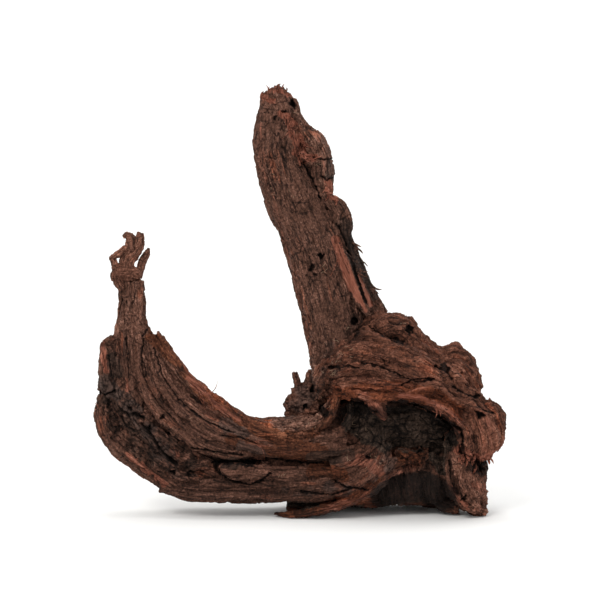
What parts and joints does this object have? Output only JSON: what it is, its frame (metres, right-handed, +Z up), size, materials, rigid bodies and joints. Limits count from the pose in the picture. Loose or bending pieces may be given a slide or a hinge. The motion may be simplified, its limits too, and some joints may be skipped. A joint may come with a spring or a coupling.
{
  "type": "aquarium driftwood",
  "caption": "Dark root-wood driftwood: a gnarled block with a hooded hollow, a leaning upright limb and a curved side limb that ends in thin twisted twigs.",
  "frame": {"origin": "on the floor that the piece stands on, under the middle of its bounding box", "axes": "+Z up, along the upright limb; +X towards the hooded block, away from the curved limb; the front that the picture shows faces -Y"},
  "size_m": [0.3507, 0.1038, 0.3654],
  "materials": {
    "dark_root_wood": "weathered, matt, split along the grain"
  },
  "bodies": {
    "root": {"driftwood": "dark_root_wood"}
  },
  "joints": []
}
